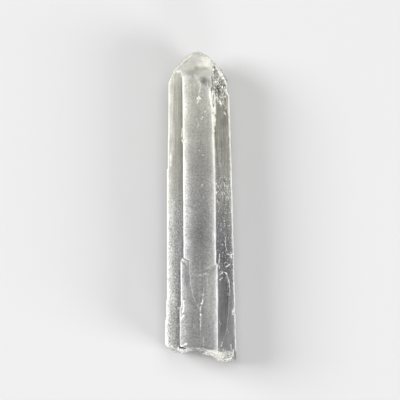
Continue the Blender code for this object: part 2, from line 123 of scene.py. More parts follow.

# ------------------------------------------------------------------------------------------------
# Damage on the skin: cracks and scratches with bruised, whitened lips, pits where gravel struck,
# and nicks along the sharpest edges. Each is later pressed into the skin and whitens it, or darkens
# it as painted shade. The same tables also hold painted rim light round the point and its
# shoulder, and painted shadow beside the ledge of the sunk strip.
# ------------------------------------------------------------------------------------------------

# Cracks, scratches, painted light and painted shade as seen from above, in millimetres across and
# along: the places they run through, then half their width, their depth, and how white they are.
# A negative whiteness is painted shade, as in a dark gap, and a negative depth stands proud.
CRACKS_AND_PAINTED_SHADING = (
    # The crack below the point, the bruise that it ends in, and a faint scratch below that
    (((-1.52, 32.1), (-1.0, 31.3), (-0.45, 30.6), (0.0, 29.9), (-0.06, 28.9)), 0.22, 0.05, 0.42),
    (((-0.06, 28.9), (-0.26, 27.9), (-0.35, 26.9)), 0.2, 0.05, 0.5),
    (((-0.84, 26.1), (-0.4, 26.8), (0.02, 26.2)), 0.13, 0.04, 1.0),
    (((-0.36, 26.6), (-0.44, 25.9), (-0.74, 25.2)), 0.12, 0.03, 0.7),
    (((-1.92, 26.2), (-1.28, 26.7)), 0.09, 0.02, -0.35),
    (((-1.62, 25.7), (-0.94, 26.4)), 0.09, 0.02, -0.35),
    (((-0.99, 21.5), (-0.74, 20.7), (-0.35, 19.9), (-0.7, 19.1)), 0.09, 0.02, 0.32),
    # Bruised lips of the chamfer beside the point, and painted rim light along the white rims of the
    # point and its shoulder
    (((1.55, 30.0), (1.99, 28.9), (2.38, 27.9)), 0.15, 0.0, 0.55),
    (((2.38, 27.9), (2.57, 26.5), (2.72, 25.1), (3.11, 23.1)), 0.24, 0.0, 1.3),
    (((3.38, 29.0), (3.55, 27.0), (3.55, 25.1), (3.31, 23.1), (3.11, 21.6)), 0.22, 0.0, 1.3),
    (((3.85, 28.6), (3.9, 27.8), (4.0, 27.2)), 0.24, 0.0, 1.1),
    (((-0.9, 37.6), (-0.1, 37.7), (0.8, 37.1), (1.7, 36.5)), 0.34, 0.0, 1.2),
    (((1.7, 36.5), (3.1, 35.3), (4.1, 34.3), (4.9, 33.3), (5.5, 32.1)), 0.42, 0.0, 1.4),
    (((3.2, 34.6), (4.1, 33.6), (4.8, 32.5), (5.4, 31.4)), 0.26, 0.0, 1.2),
    (((5.0, 32.5), (4.5, 31.3), (4.0, 30.0), (3.6, 28.7)), 0.22, 0.0, 1.1),
    (((3.4, 34.2), (3.35, 33.0), (3.45, 31.6), (3.4, 30.4), (3.15, 29.6)), 0.15, 0.03, -0.7),
    (((4.15, 30.9), (4.1, 30.3), (3.8, 29.4), (3.6, 29.0)), 0.22, 0.0, 1.2),
    (((-0.9, 37.5), (-2.0, 37.0), (-3.3, 36.0), (-4.7, 34.7)), 0.15, 0.0, 1.0),
    (((-6.7, 32.6), (-5.9, 32.9), (-4.9, 32.9)), 0.32, 0.0, 0.7),
    (((-4.7, 34.7), (-5.9, 33.5), (-6.9, 32.2), (-7.4, 30.9)), 0.17, 0.0, 1.1),
    (((-3.3, 35.5), (-4.4, 34.5), (-5.6, 33.4)), 0.22, 0.0, -0.35),
    (((-4.16, 29.9), (-4.3, 31.2), (-4.6, 32.3), (-4.9, 33.1)), 0.26, 0.0, 0.6),
    (((5.5, 32.0), (5.9, 31.0), (6.15, 30.0), (6.3, 29.2)), 0.3, 0.0, 1.3),
    (((6.3, 29.2), (6.5, 28.3), (6.65, 27.6)), 0.15, 0.0, 1.3),
    # Bruises on the left edge and the top left edge
    (((-7.3, 12.8), (-7.22, 11.2), (-7.3, 9.8)), 0.34, 0.02, 1.0),
    (((-4.45, 18.9), (-4.55, 17.4), (-4.45, 15.7)), 0.2, 0.03, 1.2),
    # Spalls and scratches on the upper right face
    (((3.99, 26.7), (4.43, 26.1)), 0.2, 0.04, 1.2),
    (((4.67, 25.8), (5.06, 25.0)), 0.3, 0.06, 1.4),
    (((5.79, 23.0), (6.09, 22.6)), 0.24, 0.05, 1.3),
    (((4.18, 5.15), (4.87, 4.17), (5.31, 3.2), (5.5, 2.56)), 0.1, 0.03, 0.7),
    (((4.28, 3.59), (5.11, 4.81)), 0.09, 0.02, 0.5),
    (((5.79, 5.78), (5.94, 4.95)), 0.2, 0.03, 0.8),
    (((4.67, 5.54), (5.4, 3.98), (6.09, 2.71)), 0.09, 0.02, 0.5),
    (((5.16, 2.95), (5.99, 4.07), (6.43, 4.9)), 0.09, 0.02, 0.5),
    (((5.36, 2.46), (6.23, 1.73), (6.97, 3.0)), 0.09, 0.02, 0.45),
    (((6.09, 4.17), (6.77, 3.34), (7.26, 2.12)), 0.09, 0.02, 0.45),
    (((4.14, 1.39), (4.58, 0.56)), 0.16, 0.02, 0.6),
    (((6.09, -7.44), (6.11, -8.37), (6.19, -9.69)), 0.12, 0.03, 1.3),
    (((6.28, -9.88), (6.38, -10.6)), 0.12, 0.03, 1.1),
    # The spike where a flake came away beside the top right edge, and the dashes near it
    (((4.65, -11.6), (4.6, -12.8), (4.55, -14.1), (4.62, -14.9)), 0.14, 0.05, 1.8),
    (((4.94, -11.5), (4.92, -13.0), (4.92, -14.5)), 0.12, 0.0, -0.55),
    (((4.36, -11.6), (4.33, -12.8), (4.31, -13.7)), 0.1, 0.0, -0.5),
    (((4.04, -14.6), (4.33, -14.1)), 0.12, 0.04, 1.2),
    (((6.11, -14.7), (6.62, -14.5), (7.06, -14.1), (7.45, -13.6)), 0.11, 0.05, 1.3),
    (((6.43, -11.5), (6.85, -11.65), (7.1, -11.75)), 0.1, 0.03, 1.2),
    # The rim of the flake scar
    (((4.72, -16.6), (5.06, -16.2), (5.5, -16.06), (6.04, -16.03), (6.38, -16.3)), 0.13, 0.0, 1.2),
    (((6.38, -16.3), (6.72, -17.1), (6.94, -18.1), (7.1, -19.4), (7.2, -20.8)), 0.12, 0.0, 0.95),
    (((7.14, -20.8), (7.21, -22.8), (7.06, -24.7)), 0.12, 0.0, 0.35),
    (((6.48, -17.2), (6.62, -18.6), (6.72, -20.1)), 0.16, 0.0, -0.25),
    (((4.65, -17.8), (4.97, -17.6), (5.33, -17.3)), 0.1, 0.03, 1.0),
    (((4.62, -17.35), (4.87, -17.0), (5.21, -16.8)), 0.1, 0.0, -0.4),
    # The head of the sunk strip on the top face, its borders, and painted shadow below its ledge and
    # down its valley
    (((-3.72, -12.5), (-3.33, -12.6), (-3.09, -12.8), (-2.7, -12.9), (-2.57, -13.2)), 0.12, 0.0, 1.2),
    (((-4.09, -12.6), (-3.72, -12.8), (-3.38, -13.1), (-2.99, -13.2), (-2.75, -13.2)), 0.11, 0.04, -0.7),
    (((-4.4, -12.6), (-4.65, -13.1), (-4.84, -13.7)), 0.12, 0.0, 1.2),
    (((-4.53, -17.0), (-4.26, -16.6)), 0.1, 0.04, -0.7),
    (((-2.6, -13.6), (-2.65, -15.0), (-2.57, -16.4), (-2.43, -17.6)), 0.13, 0.0, 0.3),
    (((-2.43, -17.6), (-2.26, -19.4), (-1.99, -20.7), (-1.7, -21.9), (-1.33, -22.9)), 0.13, 0.0, 0.28),
    (((-2.87, -13.6), (-2.89, -15.0), (-2.84, -16.4), (-2.75, -17.4)), 0.18, 0.0, -0.16),
    (((-3.7, -15.0), (-3.5, -17.4), (-3.3, -19.4), (-2.9, -21.3), (-2.4, -23.2)), 0.5, 0.0, -0.28),
    (((-4.1, -13.2), (-3.7, -14.2), (-3.4, -15.2)), 0.35, 0.0, -0.25),
    (((-3.33, -22.3), (-2.79, -22.9), (-2.16, -23.5), (-1.57, -24.1), (-0.94, -24.7)), 0.16, 0.02, -0.36),
    (((-1.09, -23.5), (-0.74, -24.2), (-0.3, -25.0)), 0.09, 0.0, 0.25),
    (((-2.01, -16.3), (-1.09, -16.4), (-0.01, -16.5)), 0.08, -0.01, 0.4),
    (((-1.87, -16.8), (-0.84, -16.8), (0.18, -16.7)), 0.08, -0.01, 0.35),
    # The ledge right of it, and the broken ridge between the two
    (((1.7, -14.8), (2.43, -14.5), (3.16, -14.1)), 0.36, 0.0, 0.22),
    (((0.67, -16.0), (1.16, -15.9), (1.89, -16.0)), 0.12, 0.0, -0.4),
    (((1.16, -16.3), (1.89, -16.4)), 0.15, 0.0, 0.3),
    (((0.67, -17.1), (0.7, -18.0), (0.72, -19.1)), 0.15, 0.02, -0.6),
    (((0.58, -19.5), (0.5, -20.7)), 0.13, 0.02, -0.65),
    (((1.55, -17.4), (1.74, -18.1), (1.74, -19.1)), 0.12, 0.0, 0.2),
    (((0.3, -21.8), (0.21, -22.4)), 0.12, 0.03, -0.55),
    (((0.5, -22.6), (0.52, -23.1)), 0.12, -0.03, 1.3),
    (((0.16, -22.7), (0.18, -23.1)), 0.12, 0.03, -0.8),
    (((0.26, -23.4), (0.33, -23.5)), 0.15, -0.03, 1.4),
    (((-0.28, -24.1), (-0.28, -25.0)), 0.11, 0.03, -0.65),
    (((-0.01, -24.2), (0.01, -25.0)), 0.12, -0.04, 1.0),
    (((0.04, -26.0), (0.04, -26.2)), 0.18, -0.04, 1.5),
    (((0.04, -26.4), (0.01, -27.7), (0.04, -29.0)), 0.09, -0.04, 0.55),
    (((0.72, -31.9), (0.74, -32.5), (0.7, -33.7)), 0.1, -0.03, 0.45),
    (((-1.67, -28.0), (-1.43, -29.5)), 0.11, 0.0, 0.22),
    # Bruises along the top left edge, and the lip over the gap at the base
    (((-4.2, -22.8), (-4.1, -23.5), (-4.04, -24.2), (-4.14, -25.0), (-4.34, -25.7)), 0.19, 0.05, 1.3),
    (((-3.92, -22.8), (-4.21, -23.6)), 0.12, 0.0, 1.2),
    (((-4.06, -26.4), (-4.5, -26.8), (-4.84, -27.4)), 0.16, 0.06, 1.5),
    (((-3.38, -33.3), (-3.92, -33.5), (-4.36, -33.8)), 0.14, 0.0, 1.2),
    # The bright rims of the broken base, and painted shade in small dark gaps in it
    (((-7.2, -33.8), (-6.4, -34.5), (-5.4, -34.95), (-4.2, -35.2)), 0.16, 0.0, 1.0),
    (((-6.0, -34.6), (-5.2, -34.8), (-4.4, -35.0)), 0.3, 0.0, 0.8),
    (((-4.2, -35.3), (-3.2, -35.3), (-2.2, -35.0)), 0.26, 0.0, 1.0),
    (((2.6, -35.9), (3.6, -36.7), (4.8, -37.2), (6.4, -37.4)), 0.24, 0.0, 1.0),
    (((6.4, -37.4), (7.5, -37.0), (7.9, -36.3), (8.0, -35.0)), 0.24, 0.0, 1.2),
    (((1.7, -34.9), (2.8, -35.2), (4.0, -35.6), (5.0, -35.9)), 0.3, 0.0, 0.8),
    (((4.2, -34.5), (5.2, -34.8), (6.4, -35.1)), 0.34, 0.0, 0.3),
    (((7.4, -33.9), (7.6, -34.8), (7.7, -35.8)), 0.28, 0.0, 0.5),
    (((6.6, -36.9), (7.2, -36.6)), 0.12, 0.04, -0.6),
    (((0.16, -34.0), (0.3, -34.1)), 0.2, 0.06, -1.0),
    (((0.67, -34.6), (0.82, -34.7)), 0.14, 0.05, -0.8),
    (((1.6, -34.4), (2.82, -34.7), (4.04, -35.0)), 0.12, 0.0, -0.2),
)
# Pits and painted light and shade as seen from above: across, along, half the width, the depth, and
# how white they are. A negative whiteness is painted shade.
PITS_AND_PAINTED_SHADING = (
    (1.16, 23.1, 0.24, 0.04, 0.4),
    (0.48, 21.7, 0.14, 0.04, 1.2),
    (0.1, 21.4, 0.12, 0.02, 0.8),
    (0.33, 21.2, 0.12, 0.02, 0.8),
    (-0.21, 13.6, 0.13, 0.03, 1.0),
    (-1.45, 13.3, 0.1, 0.02, 0.6),
    (0.62, 12.6, 0.14, 0.03, 0.8),
    (0.45, 5.3, 0.2, 0.03, 0.5),
    (0.33, 4.85, 0.14, 0.02, 0.4),
    (-3.23, 28.9, 0.2, 0.02, 0.5),
    (3.84, 3.4, 0.34, -0.06, 1.4),
    (3.79, 5.6, 0.26, -0.03, 1.2),
    (3.35, 20.8, 0.3, 0.08, 1.2),
    (3.38, 18.4, 0.3, 0.08, 1.2),
    (6.82, 2.0, 0.17, 0.03, 1.4),
    (6.14, 0.4, 0.15, 0.03, 0.7),
    (5.84, -2.3, 0.11, 0.02, 0.8),
    (5.84, -3.5, 0.14, 0.03, 1.4),
    (5.89, -4.6, 0.13, 0.03, 1.2),
    (7.01, -4.6, 0.16, 0.03, 1.3),
    (5.33, -9.25, 0.2, 0.05, 1.0),
    (6.09, -13.6, 0.17, 0.03, 1.0),
    (5.36, -14.3, 0.14, 0.02, 0.8),
    (4.67, -28.1, 0.14, 0.03, 1.0),
    (4.97, -28.5, 0.15, 0.03, 1.1),
    (4.77, -29.0, 0.11, 0.02, 0.9),
    (6.58, -29.9, 0.11, 0.02, 0.8),
    (6.82, -30.5, 0.12, 0.02, 0.9),
    (6.38, -31.0, 0.1, 0.02, 0.7),
    (7.31, -33.8, 0.13, 0.03, 1.0),
    # Painted shade in dark hollows beside the shoulder, then painted rim light on the white point and
    # shoulder
    (3.42, 30.5, 0.26, 0.03, -0.9),
    (3.25, 29.9, 0.2, 0.03, -0.7),
    (4.3, 29.5, 0.18, 0.03, -0.9),
    (0.3, 37.3, 0.32, 0.0, 1.3),
    (1.0, 36.9, 0.32, 0.0, 1.3),
    (1.6, 36.4, 0.32, 0.0, 1.3),
    (2.3, 35.8, 0.3, 0.0, 1.2),
    (3.0, 35.1, 0.3, 0.0, 1.2),
    (3.9, 34.2, 0.36, 0.0, 1.4),
    (4.2, 33.5, 0.38, 0.0, 1.4),
    (4.6, 32.8, 0.34, 0.0, 1.3),
    # Painted shade in the gap behind the spur, as a row of small dark hollows, and the spur's white lip
    (-4.95, -34.15, 0.22, 0.06, -3.0),
    (-4.75, -34.25, 0.19, 0.06, -3.0),
    (-4.5, -34.25, 0.18, 0.06, -3.0),
    (-4.25, -34.3, 0.17, 0.06, -3.0),
    (-4.0, -34.35, 0.15, 0.06, -2.5),
    (-3.8, -34.45, 0.15, 0.06, -2.5),
    (-3.6, -34.5, 0.14, 0.06, -2.5),
    (-5.4, -34.3, 0.28, 0.0, 1.5),
    (-4.6, -33.8, 0.22, 0.0, 1.5),
)
KNOCKS = 70  # small nicks along the sharpest edges
KNOCK_REACH = (0.16, 0.42)
KNOCK_DEPTH = (0.03, 0.11)
KNOCK_WHITENESS = 0.3
STRIKES = 120  # small pits anywhere on the faces
STRIKE_REACH = (0.07, 0.15)
STRIKE_DEPTH = (0.01, 0.03)
STRIKE_WHITENESS = (0.1, 0.6)
DAMAGE_SEED = 7
SHARP_ANGLE = math.radians(40.0)
LINE_STEP = 0.05 * MM
# A crack strays to each side at every step, and opens and closes over each lump of noise.
CRACK_STEP = 0.5 * MM
CRACK_STRAY = 0.09 * MM
CRACK_LUMPS = 0.9 * MM
CRACK_OPENNESS = 0.6
CRACK_CHANGE = 0.6
CRACK_LEAST_WIDTH = 0.4
CRACK_WHITENING = 1.5
MARK_REACH = 2.0  # how far a mark is felt, in half widths
CLEAR_ABOVE = 0.1  # metres above the table

skin = bmesh.new()
skin.from_mesh(crystal.data)
skin_faces = BVHTree.FromBMesh(skin)


def seen_from_above(across, along):
    """The place on the rubbed skin under a point given in millimetres, or the nearest place."""
    above = Vector((across * MM, along * MM, CLEAR_ABOVE))
    down = Vector((0.0, 0.0, -1.0))
    under = skin_faces.ray_cast(above, down)[0]
    return under or skin_faces.find_nearest(form_faces.ray_cast(above, down)[0])[0]


def points_between(start, end, step):
    count = max(1, round((end - start).length / step))
    return [start.lerp(end, index / count) for index in range(count + 1)]


def sharp_edge_points(mesh, angle, step, least_lengthwise=0.0):
    """Points along every edge that is sharper than an angle, and enough in line with the crystal."""
    points = []
    for edge in mesh.edges:
        start, end = (corner.co for corner in edge.verts)
        lengthwise = abs(end.y - start.y) / edge.calc_length()
        if edge.calc_face_angle(0.0) > angle and lengthwise >= least_lengthwise:
            points += points_between(start, end, step)
    return points


def jagged(start, end, chance):
    """Points between two ends of a crack, which strays to each side as it runs."""
    points = points_between(start, end, CRACK_STEP)
    for point in points[1:-1]:
        point += Vector(chance.uniform(-CRACK_STRAY, CRACK_STRAY, 3))
    return [
        fine
        for first, second in zip(points, points[1:])
        for fine in points_between(first, second, LINE_STEP)
    ]


chance = np.random.default_rng(DAMAGE_SEED)
# Each holds a place, half width and depth in metres, and whiteness; negative whiteness is painted shade
damage_and_painted_shading = []  # place, half width and depth in metres, and whiteness
for route, half_width, depth, white in CRACKS_AND_PAINTED_SHADING:
    stations = [seen_from_above(*station) for station in route]
    for start, end in zip(stations, stations[1:]):
        for point in jagged(start, end, chance):
            openness = CRACK_OPENNESS + CRACK_CHANGE * noise.noise(point / CRACK_LUMPS)
            reach = half_width * (CRACK_LEAST_WIDTH + openness) * MM
            shade = white * min(openness * CRACK_WHITENING, 1.0)
            damage_and_painted_shading.append((point, reach, depth * MM, shade))
for across, along, half_width, depth, white in PITS_AND_PAINTED_SHADING:
    damage_and_painted_shading.append((seen_from_above(across, along), half_width * MM, depth * MM, white))
edge_points = sharp_edge_points(form, SHARP_ANGLE, LINE_STEP)
for pick in chance.integers(len(edge_points), size=KNOCKS):
    reach = chance.uniform(*KNOCK_REACH) * MM
    depth = chance.uniform(*KNOCK_DEPTH) * MM
    damage_and_painted_shading.append((edge_points[pick], reach, depth, KNOCK_WHITENESS))
for pick in chance.integers(len(places), size=STRIKES):
    reach = chance.uniform(*STRIKE_REACH) * MM
    depth = chance.uniform(*STRIKE_DEPTH) * MM
    damage_and_painted_shading.append((Vector(places[pick]), reach, depth, chance.uniform(*STRIKE_WHITENESS)))


def vertex_tree(places):
    tree = kdtree.KDTree(len(places))
    for index, place in enumerate(places):
        tree.insert(place, index)
    tree.balance()
    return tree


def distances_to(points, places):
    """Distance from each vertex to the nearest of some points."""
    tree = vertex_tree(points)
    return np.array([tree.find(place)[2] for place in places])


def damage_and_painted_shading_at(places):
    """How deep the damage goes at each vertex, and how white it leaves it, or how dark as painted shade.
    """
    tree = vertex_tree(places)
    depths, whites_and_painted_shading = np.zeros((2, len(places)))
    for point, half_width, depth, white in damage_and_painted_shading:
        for place, index, distance in tree.find_range(point, MARK_REACH * half_width):
            slope = math.exp(-((distance / half_width) ** 2))
            if abs(depth * slope) > abs(depths[index]):
                depths[index] = depth * slope
            shade = white * math.exp(-((distance / half_width) ** 3))
            if abs(shade) > abs(whites_and_painted_shading[index]):
                whites_and_painted_shading[index] = shade
    return depths, whites_and_painted_shading


# ------------------------------------------------------------------------------------------------
# The skin is given its relief: the faces aren't perfect planes, and swell and sink a little. The
# patch beside the point is crumbled into small chips, each left at its own height. The damage is
# pressed in, and the face that the crystal rests on stays flat.
# ------------------------------------------------------------------------------------------------

SWELLS = ((0.09, 0.035), (0.35, 0.012), (1.4, 0.005))  # swells for each mm, and their height
CHIP_SIZE = 0.36 * MM
CHIP_HEIGHT = 0.27 * MM
CHIP_SCATTER = 13.0  # spreads the chips' middles, so that neighbours get unlike heights
# The crumbled patch fades between two places: along the crystal, across it, and above the table.
CRUMBLE_STARTS = (23.3 * MM, 24.3 * MM)
CRUMBLE_SLANT = 0.96  # of its low end: how far along it runs for each millimetre across
CRUMBLE_SIDE = (2.8 * MM, 3.2 * MM)
CRUMBLE_ENDS = (33.6 * MM, 34.4 * MM)
CRUMBLE_FOOT = (7.0 * MM, 8.0 * MM)
LEAST_CHIPPING = 0.01  # below which no chip is made
RESTING_BAND = 0.6 * MM  # above the table, over which the relief comes in


def smooth_share(values, low, high):
    share = np.clip((values - low) / (high - low), 0.0, 1.0)
    return share * share * (3.0 - 2.0 * share)


def chip_height(place):
    """The height of the chip that a place is on, from -0.5 to 0.5."""
    middle = noise.voronoi(Vector(place) / CHIP_SIZE)[1][0]
    return noise.cell(CHIP_SCATTER * middle) - 0.5


normals = read_vertices(crystal.data, "normal")
depths, whites_and_painted_shading = damage_and_painted_shading_at(places)
swell = np.zeros(len(places))
for pitch, height in SWELLS:
    swell += [height * MM * noise.noise(Vector(place) * (pitch / MM)) for place in places]

across, along, up = places.T
chipping = smooth_share(along - CRUMBLE_SLANT * across, *CRUMBLE_STARTS)
chipping *= smooth_share(across, *CRUMBLE_SIDE) * smooth_share(up, *CRUMBLE_FOOT)
chipping *= 1.0 - smooth_share(along, *CRUMBLE_ENDS)
chips = np.zeros(len(places))
for index in np.flatnonzero(chipping > LEAST_CHIPPING):
    chips[index] = CHIP_HEIGHT * chipping[index] * chip_height(places[index])

raised = np.clip(up / RESTING_BAND, 0.0, 1.0)
places += normals * ((swell + chips - depths) * raised)[:, None]
place_vertices(crystal.data, places)

# ------------------------------------------------------------------------------------------------
# The skin is thinned out: flat stretches need few faces, and the edges, the chips and the damage
# need many.
# ------------------------------------------------------------------------------------------------

MOST_TRIANGLES = 192000
RIDGE_ANGLE = math.radians(26.0)
EDGE_BAND = 0.7 * MM
EDGE_STEP = EDGE_BAND / 3.0
EDGE_FREEDOM = 0.5  # how freely the skin is thinned in that band
MARKED_FROM = 0.05  # the whiteness and the chipping from which it isn't thinned at all
CHIPPED_FROM = 0.1

edge_line = sharp_edge_points(form, RIDGE_ANGLE, EDGE_STEP)
freedom = np.where(distances_to(edge_line, places) < EDGE_BAND, EDGE_FREEDOM, 1.0)
freedom[(np.abs(whites_and_painted_shading) > MARKED_FROM) | (chipping > CHIPPED_FROM)] = 0.0
free_to_thin = crystal.vertex_groups.new(name="free_to_thin")
for share in (EDGE_FREEDOM, 1.0):
    free_to_thin.add(np.flatnonzero(freedom == share).tolist(), share, "REPLACE")
thin_out = crystal.modifiers.new("thin_out", "DECIMATE")
thin_out.ratio = MOST_TRIANGLES / sum(len(face.vertices) - 2 for face in crystal.data.polygons)
thin_out.vertex_group = free_to_thin.name
apply_modifiers(crystal)
crystal.vertex_groups.clear()

# ------------------------------------------------------------------------------------------------
# Frosting: how light, grainy, streaked, matt and warm the skin is, face by face. The clear body
# shows greyer where a face is deep and clean, and lighter towards the cloudy point and the broken
# base. All of it is kept in attributes of the skin, for the material.
# ------------------------------------------------------------------------------------------------

AXIS_HEIGHT = 7.2 * MM
# Each face's azimuth round the long axis, in degrees. The bevel is a narrow strip beside the top.
FACES = {"top": 90, "upper_left": 150, "lower_left": 210, "bottom": 270, "lower_right": 330,
         "upper_right": 30, "bevel": 120}
FLAT_WITHIN = 9.0  # degrees from a face's own azimuth
SIDE_TILT = 0.2  # how far a side of the prism may look along the crystal
# How light each face is at places along it, in millimetres.
FACE_TONES = {
    "top": ((-36.0, 0.14), (-21.0, 0.135), (-12.0, 0.095), (-8.0, 0.082), (2.0, 0.091),
            (10.0, 0.108), (17.0, 0.158), (24.0, 0.216), (30.0, 0.25)),
    "bevel": ((-36.0, 0.14), (-14.0, 0.10)),
    "upper_left": ((-36.0, 0.145), (-28.0, 0.126), (-8.0, 0.150), (4.0, 0.18), (12.0, 0.185),
                   (24.0, 0.232)),
    "upper_right": ((-36.0, 0.165), (-30.0, 0.125), (-12.0, 0.064), (-8.0, 0.075), (0.0, 0.145),
                    (10.0, 0.205), (24.0, 0.182)),
    "lower_left": ((-36.0, 0.28), (0.0, 0.24), (24.0, 0.30)),
    "lower_right": ((-36.0, 0.24), (0.0, 0.20), (24.0, 0.28)),
    "bottom": ((-36.0, 0.28), (0.0, 0.24), (24.0, 0.34)),
}
# How strongly frosting grains each face, in the same way.
LOWER_GRAIN = ((-36.0, 0.75), (0.0, 0.65), (24.0, 0.45))
FACE_GRAINS = {
    "top": ((-36.0, 0.7), (-21.0, 0.7), (-8.0, 0.8), (8.0, 0.8), (14.0, 0.55), (34.0, 0.5)),
    "bevel": ((-36.0, 0.8), (-14.0, 0.8)),
    "upper_left": ((-36.0, 1.5), (-26.0, 1.9), (-12.0, 1.5), (0.0, 1.2), (8.0, 0.5), (20.0, 0.35)),
    "upper_right": ((-36.0, 0.7), (-22.0, 0.8), (-14.0, 1.3), (6.0, 1.3), (10.0, 0.6), (24.0, 0.5)),
    "lower_left": LOWER_GRAIN,
    "lower_right": LOWER_GRAIN,
    "bottom": ((-36.0, 0.75), (0.0, 0.65), (24.0, 0.5)),
}
FACE_STREAKS = {"top": 0.45, "bevel": 0.6, "upper_left": 0.9, "lower_left": 0.8, "bottom": 0.6,
                "lower_right": 0.9, "upper_right": 1.2}
FACE_MATTNESS = {"top": 0.40, "bevel": 0.3, "upper_left": 0.5, "lower_left": 0.42, "bottom": 0.42,
                 "lower_right": 0.34, "upper_right": 0.20}
# How warm the colour is along the crystal, from 0 for colourless to 1 for creamy. The upper left
# face is creamier out to its edge, and the upper right one cooler low down.
WARMTH = ((-10.0, 0.0), (-4.0, 0.15), (3.0, 0.40), (10.0, 0.65), (18.0, 1.0), (26.0, 0.95),
          (33.0, 0.65))
LEFT_WARMTH = 0.4
LEFT_WARMS = (5.0 * MM, 8.0 * MM)
RIGHT_COOLNESS = 0.5
RIGHT_COOLS = (0.0, 8.0 * MM)
# Two soft noises over the whole surface, as lumps for each mm and a seed.
WANDER = (0.7, 3.0)
DRIFT = (0.33, 9.0)
FACET_SEED = 21
LEAST_TONE = 0.03


def azimuth_of(across, up):
    return np.degrees(np.arctan2(up, across)) % 360.0


def between_azimuths(azimuth, target):
    return np.abs((azimuth - target + 180.0) % 360.0 - 180.0)


def noise_field(places, pitch, seed):
    """Soft noise from -1 to 1 over the surface, with this many lumps for each mm."""
    shift = Vector((seed, 0.0, 0.0))
    return np.array([noise.noise(Vector(place) * (pitch / MM) + shift) for place in places])


def by_stops(stops, along):
    """A value that changes along the crystal, from stops of (millimetres, value)."""
    marks, values = np.transpose(stops)
    return np.interp(along, marks * MM, values)


places = read_vertices(crystal.data, "co")
nearest = [form_faces.find_nearest(place) for place in places]
looks = np.array([found[1] for found in nearest])
facet = np.array([found[2] for found in nearest])
face_azimuth = azimuth_of(looks[:, 0], looks[:, 2])
across, along, up = places.T
looks_up = looks[:, 2]
on_prism = np.abs(looks[:, 1]) < SIDE_TILT
tilts = {name: between_azimuths(face_azimuth, azimuth) for name, azimuth in FACES.items()}
tilt_from_face = np.min(list(tilts.values()), axis=0)
on_face = {name: on_prism & (tilt == tilt_from_face) for name, tilt in tilts.items()}
off_face = (tilt_from_face > FLAT_WITHIN) | ~on_prism
wander = noise_field(places, *WANDER)
drift = noise_field(places, *DRIFT)
facet_light = np.random.default_rng(FACET_SEED).random(len(form.faces))[facet]

tone, grain, streaks, matt = np.zeros((4, len(places)))
for name, tilt in tilts.items():
    here = tilt == tilt_from_face
    tone[here] = by_stops(FACE_TONES[name], along[here])
    grain[here] = by_stops(FACE_GRAINS[name], along[here])
    streaks[here] = FACE_STREAKS[name]
    matt[here] = FACE_MATTNESS[name]
warmth = by_stops(WARMTH, along)
warmth += np.where(on_face["upper_left"], LEFT_WARMTH * smooth_share(-across, *LEFT_WARMS), 0.0)
warmth -= np.where(on_face["upper_right"], RIGHT_COOLNESS * smooth_share(-along, *RIGHT_COOLS), 0.0)

# ------------------------------------------------------------------------------------------------
# The flake scar low on the upper right face is fresher and clearer than the face round it. It is
# where the surface is sunk below that face, which closes in on the long axis by the taper.
# ------------------------------------------------------------------------------------------------

LOOKS_RIGHT = 0.7  # how far that face looks to the right, and up, at least
LOOKS_UP = 0.3
FACE_DISTANCE = 6.43 * MM  # from the long axis, at the middle
FACE_TAPER = 0.0119
SCAR_LIP = 0.17 * MM
SCAR_STARTS = -15.5 * MM
SCAR_ENDS = -34.0 * MM
SCAR_FADES = 6.0 * MM
SCAR_TONE = 0.06
SCAR_FOOT_TONE = 0.10  # how much lighter the scar gets towards its low end
SCAR_MATTNESS = 0.12

right_face = (looks[:, 0] > LOOKS_RIGHT) & (looks_up > LOOKS_UP)
outwards = math.radians(FACES["upper_right"])
out_from_axis = across * math.cos(outwards) + (up - AXIS_HEIGHT) * math.sin(outwards)
sunk = FACE_DISTANCE - FACE_TAPER * along - out_from_axis
in_scar = right_face & (sunk > SCAR_LIP) & (along < SCAR_STARTS) & (along > SCAR_ENDS)
foot = 1.0 - smooth_share(along, SCAR_ENDS, SCAR_ENDS + SCAR_FADES)
tone = np.where(in_scar, SCAR_TONE + SCAR_FOOT_TONE * foot, tone)
matt = np.where(in_scar, SCAR_MATTNESS, matt)

# ------------------------------------------------------------------------------------------------
# The cloudy point is paler and smoother than the sides, which it fades into. Soft patches lie here
# and there in the quartz, seen from above. The point's steep faces are painted nearly white, as
# painted rim light along its outline.
# ------------------------------------------------------------------------------------------------

POINT_TONE = 0.58
POINT_STARTS = 28.0 * MM
POINT_FADES = 1.5 * MM
POINT_ENDS = 33.0 * MM
POINT_ON_SIDES = 0.5  # how much of its cloudiness the sides next to it have
POINT_SMOOTHS = (0.7, 0.9)  # how much it takes from the grain and from the streaks
# Painted rim light: the point's steep faces are painted nearly white, as its white outline
PAINTED_RIM_LIGHT = 0.95  # of the point's steep faces, which show as its white outline
RIM_TILT = 0.35  # how far up or down such a face may look
SEEN_FROM = 0.05  # how far up a surface has to look to have patches
PATCH_WANDER = 0.9  # millimetres by which a patch's outline strays
UNEVENNESS = (0.08, 0.06)  # of the tone everywhere, with the drift and with the wander
